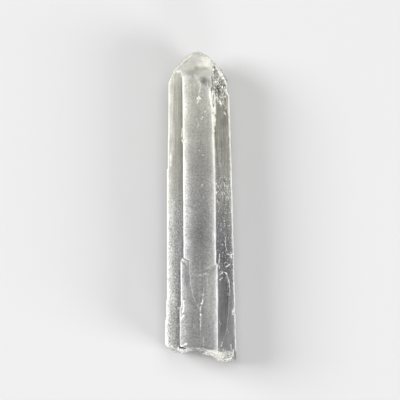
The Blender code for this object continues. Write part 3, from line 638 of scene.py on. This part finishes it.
# Across, along, half the width, half the length, and how much lighter or greyer the quartz is.
PATCHES = (
    (-1.9, 32.5, 1.4, 1.2, -0.24),
    (-2.2, 30.2, 1.4, 1.3, -0.09),
    (1.4, 35.9, 1.2, 1.1, 0.30),
    (-1.0, 33.9, 0.7, 0.7, -0.22),
    (0.4, 33.4, 1.3, 0.5, -0.18),
    (-2.6, 30.6, 1.0, 0.8, -0.08),
    (1.5, 30.6, 1.3, 1.0, -0.34),
    (0.3, 31.3, 0.6, 0.4, -0.14),
    (0.3, 34.8, 1.2, 0.5, 0.16),
    (1.6, 34.3, 0.5, 1.1, 0.22),
    (-1.9, 35.3, 0.8, 0.5, -0.10),
    (2.6, 34.2, 0.9, 1.2, 0.18),
    (-4.9, 33.6, 0.7, 1.0, -0.10),
    (1.9, 28.3, 0.9, 1.6, -0.055),
    (-3.2, 27.0, 0.9, 3.0, -0.02),
    (-5.3, 34.0, 0.8, 0.9, 0.06),
    (-0.5, 25.4, 0.8, 1.2, 0.03),
    (5.6, 21.2, 0.5, 1.4, -0.08),
    (5.5, 10.2, 0.5, 3.0, 0.07),
    (-3.3, 14.0, 0.5, 2.4, 0.06),
    (-6.0, 2.0, 1.6, 8.0, 0.03),
    (4.1, -24.0, 0.7, 8.0, 0.05),
    (1.9, -22.0, 1.3, 6.0, 0.055),
    (-3.4, -17.0, 0.7, 3.4, -0.06),
    (-1.9, -17.0, 0.6, 3.6, 0.025),
    (-3.6, -30.0, 0.6, 2.6, 0.05),
    (-0.5, -7.5, 1.6, 5.0, -0.03),
    (4.7, -20.5, 0.45, 5.0, 0.04),
    (6.5, -22.5, 0.45, 3.5, -0.035),
    (-1.8, -25.5, 1.6, 5.0, -0.02),
    (3.5, -32.5, 0.7, 2.6, -0.05),
    (7.3, -22.0, 0.5, 4.5, -0.025),
    (-5.1, -6.0, 0.55, 8.0, -0.035),
    (-5.2, 16.5, 0.5, 4.0, 0.03),
    (4.9, -26.5, 0.5, 2.5, 0.03),
    (6.2, -14.0, 0.8, 3.0, -0.025),
    (5.6, 27.0, 0.6, 0.8, -0.05),
    (-5.0, -25.5, 0.35, 3.0, -0.05),
    (6.6, -18.5, 0.55, 3.5, -0.025),
    (-4.0, -17.5, 0.4, 3.5, -0.03),
)


def from_middle(patch, sideways_stray, lengthways_stray=0.0):
    """How far each vertex is from a patch's middle, in half widths and half lengths."""
    middle_across, middle_along, half_width, half_length = patch
    sideways = (across / MM - middle_across + sideways_stray) / half_width
    lengthways = (along / MM - middle_along + lengthways_stray) / half_length
    return sideways, lengthways


point_share = np.where(
    looks[:, 1] > SIDE_TILT, 1.0, smooth_share(along, POINT_STARTS, POINT_ENDS) * POINT_ON_SIDES
)
point_share *= smooth_share(along, POINT_STARTS, POINT_STARTS + POINT_FADES)
tone += point_share * (POINT_TONE - tone)
grain *= 1.0 - POINT_SMOOTHS[0] * point_share
streaks *= 1.0 - POINT_SMOOTHS[1] * point_share
for *patch, change in PATCHES:
    sideways, lengthways = from_middle(patch, PATCH_WANDER * wander, PATCH_WANDER * drift)
    share = np.exp(-(np.hypot(sideways, lengthways) ** 3))
    tone += np.where(looks_up > SEEN_FROM, change * share, 0.0)
tone *= 1.0 + UNEVENNESS[0] * drift + UNEVENNESS[1] * wander
# Painted rim light on the point's steep faces
painted_rim = (np.abs(looks_up) < RIM_TILT) & ~on_prism & (along > POINT_STARTS)
tone = np.where(painted_rim, PAINTED_RIM_LIGHT, tone)

# ------------------------------------------------------------------------------------------------
# The broken base is rough and varied seen from above, and warm on the right. Its end is less
# grainy, and each facet of it has its own lightness.
# ------------------------------------------------------------------------------------------------

BASE_STARTS = -32.8 * MM
# Across, along, half the width, half the length, and how light it is round there.
BASE_TONES = (
    (-4.9, -35.1, 1.9, 0.8, 0.62),
    (-0.6, -35.5, 1.5, 0.7, 0.09),
    (0.8, -34.3, 1.4, 0.5, 0.28),
    (3.2, -35.9, 1.6, 1.4, 1.5),
    (6.4, -35.8, 1.5, 1.3, 0.32),
)
BASE_WANDER = 0.5  # millimetres
LEAST_PULL = 1.0e-9  # keeps the sum above zero far from all of them
FACET_TONES = (0.62, 0.7)  # the least light of a facet, and what chance adds at most
BASE_SEEN_FROM = 0.15
BASE_END_TONES = (0.4, 0.95)
BASE_MATTNESS = 0.25
BASE_GRAIN = 0.4
BASE_TOP_GRAIN = 0.7  # more, where it looks well up
BASE_STREAKS = 0.1
BASE_WARMTH = 0.6
BASE_WARMS = (-1.0 * MM, 3.0 * MM)

broken = (along < BASE_STARTS) & off_face
total = np.full(len(places), LEAST_PULL)
base_tone = np.zeros(len(places))
for *patch, lightness in BASE_TONES:
    sideways, lengthways = from_middle(patch, BASE_WANDER * wander)
    pull = np.exp(-(sideways**2) - lengthways**2)
    base_tone += pull * lightness
    total += pull
base_tone *= (FACET_TONES[0] + FACET_TONES[1] * facet_light) / total
end_low, end_high = BASE_END_TONES
end_tone = end_low + (end_high - end_low) * facet_light
base_tone = np.where(looks_up > BASE_SEEN_FROM, base_tone, end_tone)
tone = np.where(broken, base_tone, tone)
matt = np.where(broken, BASE_MATTNESS, matt)
grain = np.where(broken, BASE_GRAIN + BASE_TOP_GRAIN * (looks_up > LOOKS_UP), grain)
streaks = np.where(broken, BASE_STREAKS, streaks)
warmth += np.where(broken, BASE_WARMTH, 0.0) * smooth_share(across, *BASE_WARMS)

# ------------------------------------------------------------------------------------------------
# Rubbed edges: the long edges are painted white, partly as wear and partly as painted highlight
# where the rounded edges catch the light, and lesser steps and ridges get only a paler painted
# highlight. Beside a long edge the face gets a painted glow of the light that the worn edge
# scatters into it, and beside some edges a painted shade.
# ------------------------------------------------------------------------------------------------

# Each long edge's azimuth, in degrees.
LONG_EDGES = {"top_left": 124, "left": 183, "bottom_left": 238, "bottom_right": 302, "right": 352,
              "top_right": 63}
EDGE_SECTOR = 9.0  # degrees either side of a long edge's azimuth
EDGE_ENDS = (-34.8 * MM, 31.5 * MM)
LENGTHWISE = 0.88  # how nearly an edge runs along the crystal, where 1 is exactly
# How far each long edge is painted white, as wear and painted highlight, on each face beside it, at
# places along it, in millimetres.
WEAR_AND_HIGHLIGHT_WIDTHS = (
    ("top_left", "upper_left",
     ((-36.0, 0.02), (-27.0, 0.02), (-22.0, 0.13), (-14.0, 0.17), (-4.0, 0.12), (6.0, 0.18),
      (30.0, 0.16))),
    ("top_left", "top",
     ((-36.0, 0.22), (-27.0, 0.18), (-22.0, 0.17), (-14.0, 0.2), (0.0, 0.24), (14.0, 0.34),
      (24.0, 0.22))),
    ("top_left", "bevel", ((-36.0, 0.13), (-14.0, 0.2))),
    ("left", "upper_left", ((-36.0, 0.8), (14.0, 0.72), (22.0, 0.5))),
    ("left", "lower_left", ((-36.0, 0.6), (22.0, 0.5))),
    ("bottom_left", "lower_left", ((-36.0, 0.35), (30.0, 0.35))),
    ("bottom_left", "bottom", ((-36.0, 0.35), (30.0, 0.35))),
    ("bottom_right", "bottom", ((-36.0, 0.3), (30.0, 0.3))),
    ("bottom_right", "lower_right", ((-36.0, 0.3), (30.0, 0.3))),
    ("right", "lower_right", ((-36.0, 0.5), (20.0, 0.6))),
    ("right", "upper_right", ((-36.0, 0.42), (-12.0, 0.44), (4.0, 0.66), (20.0, 0.72))),
    ("top_right", "top",
     ((-36.0, 0.10), (-20.0, 0.17), (0.0, 0.10), (12.0, 0.12), (27.5, 0.22), (28.6, 0.02))),
    ("top_right", "upper_right",
     ((-36.0, 0.05), (-28.0, 0.14), (-20.0, 0.34), (0.0, 0.38), (14.0, 0.7), (20.0, 0.64),
      (27.5, 0.5), (28.6, 0.02))),
)
WEAR_AND_HIGHLIGHT_STRENGTH = 1.1
WEAR_AND_HIGHLIGHT_CHANGE = 0.3  # of its width and its strength, with the wander
# Painted glow on each face beside each of its long edges: how strong, and how wide in
# millimetres. Where it is negative the face is painted darker there, as painted shade.
PAINTED_GLOWS = (
    ("top", "top_left", 0.72, 1.0),
    ("top", "top_right", 0.40, 0.8),
    ("bevel", "top_left", 0.6, 0.4),
    ("upper_left", "left", 0.95, 1.8),
    ("upper_left", "top_left", -0.55, 0.6),
    ("upper_right", "right", 0.30, 0.9),
    ("upper_right", "top_right", -0.15, 0.5),
    ("lower_left", "left", 0.6, 1.5),
    ("lower_left", "bottom_left", 0.5, 1.2),
    ("bottom", "bottom_left", 0.6, 1.3),
    ("bottom", "bottom_right", 0.45, 1.0),
    ("lower_right", "right", 0.5, 1.2),
    ("lower_right", "bottom_right", 0.45, 1.2),
)
PAINTED_GLOW_CHANGE = 0.5
STEPS_END = 30.5 * MM
STEP_WIDTH = 0.13 * MM
STEP_HIGHLIGHT = (0.22, 0.45)  # the usual, and how much the wander changes it
# Step highlights are less white on the upper right face, fade out low on it, and hardly show low on
# the top.
RIGHT_STEPS = 0.6
RIGHT_STEPS_FADE = (-26.0 * MM, -19.0 * MM)
TOP_STEPS = 0.12
TOP_LOOKS_UP = 0.8
TOP_STEPS_END = -12.0 * MM

ridge_points = sharp_edge_points(form, RIDGE_ANGLE, LINE_STEP, LENGTHWISE)
ridge_azimuth = azimuth_of(
    np.array([point.x for point in ridge_points]),
    np.array([point.z - AXIS_HEIGHT for point in ridge_points]),
)
ridge_along = np.array([point.y for point in ridge_points])
edge_reach = {}
for name, azimuth in LONG_EDGES.items():
    near = between_azimuths(ridge_azimuth, azimuth) < EDGE_SECTOR
    near &= (ridge_along > EDGE_ENDS[0]) & (ridge_along < EDGE_ENDS[1])
    edge_reach[name] = distances_to([ridge_points[index] for index in np.flatnonzero(near)], places)
wear_and_highlight = np.zeros(len(places))
for edge, face, stops in WEAR_AND_HIGHLIGHT_WIDTHS:
    width = by_stops(stops, along) * (1.0 + WEAR_AND_HIGHLIGHT_CHANGE * wander) * MM
    edge_wear_and_highlight = (WEAR_AND_HIGHLIGHT_STRENGTH + WEAR_AND_HIGHLIGHT_CHANGE * wander) * np.exp(-((edge_reach[edge] / width) ** 3))
    wear_and_highlight = np.where(on_face[face], np.maximum(wear_and_highlight, edge_wear_and_highlight), wear_and_highlight)

ridge_points = sharp_edge_points(form, RIDGE_ANGLE, LINE_STEP)
step_reach = distances_to([point for point in ridge_points if point.y < STEPS_END], places)
step_highlight = np.clip(STEP_HIGHLIGHT[0] + STEP_HIGHLIGHT[1] * wander, 0.0, 1.0)
step_highlight *= np.where(right_face, RIGHT_STEPS * smooth_share(along, *RIGHT_STEPS_FADE), 1.0)
low_on_top = (looks_up > TOP_LOOKS_UP) & (along < TOP_STEPS_END) & ~broken
step_highlight *= np.where(low_on_top, TOP_STEPS, 1.0)
wear_and_highlight = np.maximum(wear_and_highlight, step_highlight * np.exp(-((step_reach / STEP_WIDTH) ** 2)))

painted_glow = np.zeros(len(places))
for face, edge, strength, width in PAINTED_GLOWS:
    beside = strength * (1.0 + PAINTED_GLOW_CHANGE * drift) * np.exp(-edge_reach[edge] / (width * MM))
    painted_glow = np.where(on_face[face] & (np.abs(beside) > np.abs(painted_glow)), beside, painted_glow)
# Where the painted glow is negative, the tone is darkened as painted shade.
tone *= 1.0 + np.minimum(painted_glow, 0.0)

# ------------------------------------------------------------------------------------------------
# The crumbled patch beside the point: its chips are fresh and clear, darker at its low end and paler
# beside the shoulder, and they stop short of the right edge. In the material its chips get painted
# glints and painted shade.
# ------------------------------------------------------------------------------------------------

CHIPS_ALONG = (24.6 * MM, 34.2 * MM)
CHIPS_FROM = 2.9 * MM
CHIPPED_SECTOR = 50.0  # degrees either side of the upper right face
CHIPS_WANDER = 1.4
CHIPS_CLEAR = 0.6  # how much of the mattness they take away
CRUMBLE_TONES = (0.12, 0.48)
SHOULDER_SLANT = 0.9
SHOULDER_STARTS = (24.8 * MM, 27.4 * MM)
SHOULDER_CALMS = 0.4  # how much fewer chips show there
RIGHT_SLANT = 0.32
RIGHT_PIVOT = 30.0 * MM
RIGHT_ENDS = (5.1 * MM, 5.9 * MM)

in_patch = (along > CHIPS_ALONG[0]) & (along < CHIPS_ALONG[1]) & (across > CHIPS_FROM) & (looks_up > 0.0)
chipped = between_azimuths(face_azimuth, FACES["upper_right"]) < CHIPPED_SECTOR
chipped &= looks[:, 1] < SIDE_TILT
crumbled = np.where(in_patch & (off_face | chipped), 1.0, 0.0)
crumbled *= smooth_share(along - CRUMBLE_SLANT * across + CHIPS_WANDER * wander * MM, *CRUMBLE_STARTS)
matt = matt * (1.0 - CHIPS_CLEAR * crumbled)
crumble_low, crumble_high = CRUMBLE_TONES
shouldered = smooth_share(along - SHOULDER_SLANT * across, *SHOULDER_STARTS)
tone += crumbled * (crumble_low + (crumble_high - crumble_low) * shouldered - tone)
crumbled *= 1.0 - SHOULDER_CALMS * shouldered
crumbled *= 1.0 - smooth_share(across + RIGHT_SLANT * (along - RIGHT_PIVOT), *RIGHT_ENDS)

depths, whites_and_painted_shading = damage_and_painted_shading_at(places)

remembered = {
    "wear_and_highlight": np.clip(wear_and_highlight, 0.0, 1.0),
    "painted_glow": np.clip(painted_glow, 0.0, 1.0),
    "crumbled": crumbled,
    "facet_light": facet_light,
    "streaks": streaks,
    "marks": whites_and_painted_shading,
    "tone": np.clip(tone, LEAST_TONE, 1.0),
    "warmth": warmth,
    "matt": matt,
    "grain": grain,
}
for name, values in remembered.items():
    attribute = crystal.data.attributes.new(name, "FLOAT", "POINT")
    attribute.data.foreach_set("value", np.asarray(values, np.float32))

# ------------------------------------------------------------------------------------------------
# Frosted quartz: clear, colourless and lightly absorbing, with a worn skin. The skin is greyer
# and smoother in the middle of a face, and whiter and rougher at edges, cracks and breaks, where the
# white is partly wear and partly painted highlight. Painted glow lies beside some edges, and
# painted shade in gaps and dark chips.
# ------------------------------------------------------------------------------------------------

QUARTZ_IOR = 1.544
SEE_THROUGH = 0.55
# The white of the skin, for wear and for painted highlights and painted glow
WHITE_SKIN = (0.96, 0.96, 0.96)
CREAMY_SKIN = (0.945, 0.938, 0.85)
# The colour of painted shade, in dark gaps, hollows, shadows beside ledges and dark chips
PAINTED_SHADE = (0.03, 0.03, 0.03)
PLAIN_BODY = (0.98, 0.98, 0.98)
WARM_BODY = (0.985, 0.972, 0.84)
COOL_BODY = (0.95, 0.93, 1.0)
GREEN_STREAK = (0.97, 1.0, 0.88)
PURPLE_STREAK = (0.97, 0.93, 1.0)
ABSORPTION_TINT = (0.86, 0.87, 0.86)
ABSORPTION_DENSITY = 14.0
WORN_ROUGHNESS = 0.25
PAINTED_SHADE_ROUGHNESS = 0.5
RELIEF_STRENGTH = 0.6
RELIEF_HEIGHT = 0.03 * MM
STREAK_RELIEF = 0.8
GROWTH_RELIEF = 0.4
# Noises, as lumps for each metre, detail and roughness. Streaks are drawn out along the crystal, and
# growth lines across it.
ALONG_CRYSTAL = (1.0, 0.06, 1.0)
ACROSS_CRYSTAL = (0.12, 1.0, 0.12)
FINE_GRAIN = (2300.0, 3.0, 0.65)
MOTTLE = (420.0, 3.0, 0.55)
THIN_STREAKS = (2600.0, 2.0, 0.5)
BROAD_STREAKS = (800.0, 2.0, 0.5)
HUE_STREAKS = (520.0, 2.0, 0.5)
GROWTH_LINES = (2400.0, 2.0, 0.5)
NOISE_RANGE = (0.3, 0.7)  # what a noise mostly keeps to
# How much each noise changes the tone, where it is low and where it is high.
GRAIN_CHANGE = (-0.58, 1.1)
MOTTLE_CHANGE = (0.94, 1.06)
THIN_CHANGE = (-0.34, 0.34)
BROAD_CHANGE = (-0.22, 0.22)
GROWTH_CHANGE = (-0.06, 0.06)
GRAIN_ROUGHENS = (0.85, 1.15)  # how much the fine grain changes the roughness, in the same way
# Ranges over which something comes in, and, where it isn't from none to all, how much of it.
COOLING = (0.0, -0.5)  # of the warmth
HUE_TURN = (0.38, 0.62)  # of the noise, from green streaks to purple ones
STREAK_TINTING = (0.2, 1.3, 0.25, 1.0)  # of the streaks
MARK_WHITENING = (0.35, 0.6, 0.6, 1.2)  # of the fine grain
SPECKS = (0.61, 0.66, 0.0, 0.8)  # of the fine grain
SPECKED = (0.7, 1.5)  # of the frosting
# Painted shade comes in over this range of the marks
PAINTED_GAP_SHADES = (0.0, -1.0)  # of the marks
# Chips: how their pattern lies, its lumps for each metre, how much a facet's own chance counts, and
# the ranges of chance over which chips get a painted glint, and over which they get painted shade.
CHIPS_STRETCH = (1.0, 0.6, 1.0)
CHIPS_TURN = math.radians(28.0)
CHIPS_SCALE = 2900.0
FACET_CHANCE = 0.5
PAINTED_GLINTS = (1.0, 1.04)
SHADES = (0.66, 0.61)
# The colour sockets of a mix node share their names with others, so they are reached by place.
MIX_SHARE, MIX_FIRST, MIX_SECOND, MIX_RESULT = 0, 6, 7, 2


class Wiring:
    """Adds nodes to a material and joins them."""

    def __init__(self, tree):
        self.tree = tree

    def node(self, kind, **settings):
        made = self.tree.nodes.new(kind)
        for key, value in settings.items():
            setattr(made, key, value)
        return made

    def feed(self, node, sources):
        """Joins or sets a node's inputs, each by its name or its place."""
        for key, source in sources.items():
            if isinstance(source, bpy.types.NodeSocket):
                self.tree.links.new(source, node.inputs[key])
            else:
                node.inputs[key].default_value = source

    def attribute(self, name):
        return self.node("ShaderNodeAttribute", attribute_name=name).outputs["Fac"]

    def math(self, operation, first, second=0.0, third=0.0, clamp=False):
        made = self.node("ShaderNodeMath", operation=operation, use_clamp=clamp)
        self.feed(made, {0: first, 1: second, 2: third})
        return made.outputs["Value"]

    def mix(self, share, first, second, blend="MIX"):
        made = self.node("ShaderNodeMix", data_type="RGBA", blend_type=blend)
        self.feed(made, {MIX_SHARE: share, MIX_FIRST: first, MIX_SECOND: second})
        return made.outputs[MIX_RESULT]

    def span(self, value, low=0.0, high=1.0, to_low=0.0, to_high=1.0):
        """Maps one range of a value onto another, and holds it at the ends."""
        made = self.node("ShaderNodeMapRange")
        self.feed(made, dict(enumerate((value, low, high, to_low, to_high))))
        return made.outputs["Result"]

    def noise(self, vector, scale, detail, roughness):
        made = self.node("ShaderNodeTexNoise")
        settings = {"Scale": scale, "Detail": detail, "Roughness": roughness}
        self.feed(made, {"Vector": vector, **settings})
        return made.outputs["Fac"]


def rgba(colour):
    return (*colour, 1.0)


quartz = bpy.data.materials.new("frosted_quartz")
quartz.use_nodes = True
wiring = Wiring(quartz.node_tree)
shader = quartz.node_tree.nodes["Principled BSDF"]
coordinates = wiring.node("ShaderNodeTexCoord").outputs["Object"]


def stretched(scale, turn=0.0):
    """Object coordinates drawn out or squeezed along some axes, then turned in plan."""
    mapping = wiring.node("ShaderNodeMapping")
    wiring.feed(mapping, {"Vector": coordinates, "Rotation": (0.0, 0.0, turn), "Scale": scale})
    return mapping.outputs["Vector"]


lengthways = stretched(ALONG_CRYSTAL)
crossways = stretched(ACROSS_CRYSTAL)
fine_grain = wiring.noise(coordinates, *FINE_GRAIN)
mottle = wiring.noise(coordinates, *MOTTLE)
thin_streaks = wiring.noise(lengthways, *THIN_STREAKS)
broad_streaks = wiring.noise(lengthways, *BROAD_STREAKS)
hue_streaks = wiring.noise(lengthways, *HUE_STREAKS)
growth_lines = wiring.noise(crossways, *GROWTH_LINES)

# Tint: creamy towards the point, cooler low on the right, with faint streaks of colour
warmth_here = wiring.attribute("warmth")
creaminess = wiring.span(warmth_here)
body_tint = wiring.mix(creaminess, rgba(PLAIN_BODY), rgba(WARM_BODY))
body_tint = wiring.mix(wiring.span(warmth_here, *COOLING), body_tint, rgba(COOL_BODY))
streak_hue = wiring.span(hue_streaks, *HUE_TURN)
streak_tint = wiring.mix(streak_hue, rgba(GREEN_STREAK), rgba(PURPLE_STREAK))
streak_share = wiring.span(wiring.attribute("streaks"), *STREAK_TINTING)
body_tint = wiring.mix(streak_share, body_tint, streak_tint, "MULTIPLY")
white = wiring.mix(creaminess, rgba(WHITE_SKIN), rgba(CREAMY_SKIN))

# Unevenness: fine frosting, streaks along the crystal and growth lines across it
frosting = wiring.attribute("grain")
streaking = wiring.attribute("streaks")
fine_part = wiring.span(fine_grain, *NOISE_RANGE, *GRAIN_CHANGE)
fine_part = wiring.math("MULTIPLY", fine_part, frosting)
streak_part = wiring.span(thin_streaks, *NOISE_RANGE, *THIN_CHANGE)
broad_part = wiring.span(broad_streaks, *NOISE_RANGE, *BROAD_CHANGE)
streak_part = wiring.math("ADD", streak_part, broad_part)
streak_part = wiring.math("MULTIPLY", streak_part, streaking)
unevenness = wiring.span(mottle, *NOISE_RANGE, *MOTTLE_CHANGE)
growth_part = wiring.span(growth_lines, *NOISE_RANGE, *GROWTH_CHANGE)
for part in (fine_part, streak_part, growth_part):
    unevenness = wiring.math("ADD", unevenness, part)
tone_here = wiring.math("MULTIPLY", wiring.attribute("tone"), unevenness, clamp=True)
body = wiring.mix(1.0, body_tint, tone_here, "MULTIPLY")
# Painted glow beside the long edges, mixed towards the white of the skin
painted_glow_here = wiring.math("MULTIPLY", wiring.attribute("painted_glow"), unevenness, clamp=True)
surface = wiring.mix(painted_glow_here, body, white)

# Chips in the crumbled patch: some get a painted glint, and some painted shade
chips = wiring.node("ShaderNodeTexVoronoi")
wiring.feed(chips, {"Vector": stretched(CHIPS_STRETCH, CHIPS_TURN), "Scale": CHIPS_SCALE})
chip_light = wiring.node("ShaderNodeSeparateColor")
wiring.feed(chip_light, {"Color": chips.outputs["Color"]})
facets = wiring.attribute("facet_light")
catching = wiring.math("MULTIPLY_ADD", facets, FACET_CHANCE, chip_light.outputs["Red"])
crumbling = wiring.attribute("crumbled")
painted_glint = wiring.math("MULTIPLY", wiring.span(catching, *PAINTED_GLINTS), crumbling)
surface = wiring.mix(painted_glint, surface, white)
shade = wiring.math("MULTIPLY", wiring.span(catching, *SHADES), crumbling)
surface = wiring.mix(shade, surface, rgba(PAINTED_SHADE))

# White damage, specks, wear and painted highlights over all, and painted shade in dark gaps
marks = wiring.attribute("marks")
marked = wiring.math("MULTIPLY", marks, wiring.span(fine_grain, *MARK_WHITENING))
speck = wiring.span(fine_grain, *SPECKS)
speck = wiring.math("MULTIPLY", speck, wiring.span(frosting, *SPECKED))
whitened = wiring.math("MAXIMUM", marked, speck)
worn_and_highlit = wiring.math("MAXIMUM", wiring.attribute("wear_and_highlight"), whitened, clamp=True)
surface = wiring.mix(worn_and_highlit, surface, white)
painted_gap_shade = wiring.span(marks, *PAINTED_GAP_SHADES)
surface = wiring.mix(painted_gap_shade, surface, rgba(PAINTED_SHADE))

# Worn places and places painted dark as shade are rougher, and the frosting stands in low relief
roughness = wiring.math("MULTIPLY_ADD", worn_and_highlit, WORN_ROUGHNESS, wiring.attribute("matt"))
painted_shade_here = wiring.math("MAXIMUM", painted_gap_shade, shade)
roughness = wiring.math("MULTIPLY_ADD", painted_shade_here, PAINTED_SHADE_ROUGHNESS, roughness)
roughening = wiring.span(fine_grain, *NOISE_RANGE, *GRAIN_ROUGHENS)
roughness = wiring.math("MULTIPLY", roughness, roughening, clamp=True)

relief = wiring.math("MULTIPLY", fine_grain, frosting)
streak_relief = wiring.math("MULTIPLY", thin_streaks, streaking)
relief = wiring.math("MULTIPLY_ADD", streak_relief, STREAK_RELIEF, relief)
relief = wiring.math("MULTIPLY_ADD", growth_lines, GROWTH_RELIEF, relief)
bump = wiring.node("ShaderNodeBump")
wiring.feed(bump, {"Strength": RELIEF_STRENGTH, "Distance": RELIEF_HEIGHT, "Height": relief})
wiring.feed(shader, {
    "Base Color": surface,
    "Roughness": roughness,
    "Normal": bump.outputs["Normal"],
    "Metallic": 0.0,
    "Transmission Weight": SEE_THROUGH,
    "IOR": QUARTZ_IOR,
})

absorption = wiring.node("ShaderNodeVolumeAbsorption")
wiring.feed(absorption, {"Color": rgba(ABSORPTION_TINT), "Density": ABSORPTION_DENSITY})
output = quartz.node_tree.nodes["Material Output"]
wiring.feed(output, {"Volume": absorption.outputs["Volume"]})

crystal.data.materials.clear()
crystal.data.materials.append(quartz)
crystal.data.shade_smooth()
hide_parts("quartz_crystal")
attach(crystal, "root")

# ------------------------------------------------------------------------------------------------
# The table and the light: a plain pale matt top under soft daylight, strongest from the left, with
# weaker light from above, from the right and from the front.
# ------------------------------------------------------------------------------------------------

TABLE_HALF_SIZE = 1.5
TABLE_GREY = 0.34
TABLE_ROUGHNESS = 0.9
TABLE_GAP = 0.02 * MM
# Each light: its place in metres, its size and its power.
LIGHTS = {
    "window": ((-1.3, 0.4, 0.9), 0.8, 44.0),
    "sky": ((0.1, 0.5, 1.7), 1.2, 23.5),
    "bounce": ((1.35, -0.6, 0.7), 0.8, 32.0),
    "front": ((0.3, -1.3, 0.55), 0.6, 10.0),
}
ROOM_LIGHT = 0.33

top = bmesh.new()
bmesh.ops.create_grid(top, x_segments=1, y_segments=1, size=TABLE_HALF_SIZE)
table_mesh = bpy.data.meshes.new("table")
top.to_mesh(table_mesh)
table = add_object("table", table_mesh, (0.0, 0.0, -TABLE_GAP))
paint = bpy.data.materials.new("pale_table")
paint.use_nodes = True
paint_shader = paint.node_tree.nodes["Principled BSDF"]
paint_shader.inputs["Base Color"].default_value = (TABLE_GREY, TABLE_GREY, TABLE_GREY, 1.0)
paint_shader.inputs["Roughness"].default_value = TABLE_ROUGHNESS
table_mesh.materials.append(paint)

middle = Vector((0.0, 0.0, AXIS_HEIGHT))
for name, (light_place, size, power) in LIGHTS.items():
    lamp = bpy.data.lights.new(name, "AREA")
    lamp.size = size
    lamp.energy = power
    holder = add_object(name, lamp, light_place)
    holder.rotation_euler = (middle - Vector(light_place)).to_track_quat("-Z", "Y").to_euler()

room = bpy.data.worlds.new("room")
room.use_nodes = True
room.node_tree.nodes["Background"].inputs["Color"].default_value = (1.0, 1.0, 1.0, 1.0)
room.node_tree.nodes["Background"].inputs["Strength"].default_value = ROOM_LIGHT
bpy.context.scene.world = room
bpy.context.scene.view_settings.view_transform = "Standard"

# ------------------------------------------------------------------------------------------------
# The camera looks straight down on the top face, from so far away that little is foreshortened.
# ------------------------------------------------------------------------------------------------

VIEW_SIZE = 97.6 * MM
VIEW_MIDDLE = (-0.11 * MM, 1.63 * MM)
CAMERA_HEIGHT = 1.2
NEAREST_SEEN = 0.05

camera = bpy.data.cameras.new("camera")
camera.lens = camera.sensor_width * (CAMERA_HEIGHT - AXIS_HEIGHT) / VIEW_SIZE
camera.clip_start = NEAREST_SEEN
bpy.context.scene.camera = add_object("camera", camera, (*VIEW_MIDDLE, CAMERA_HEIGHT))
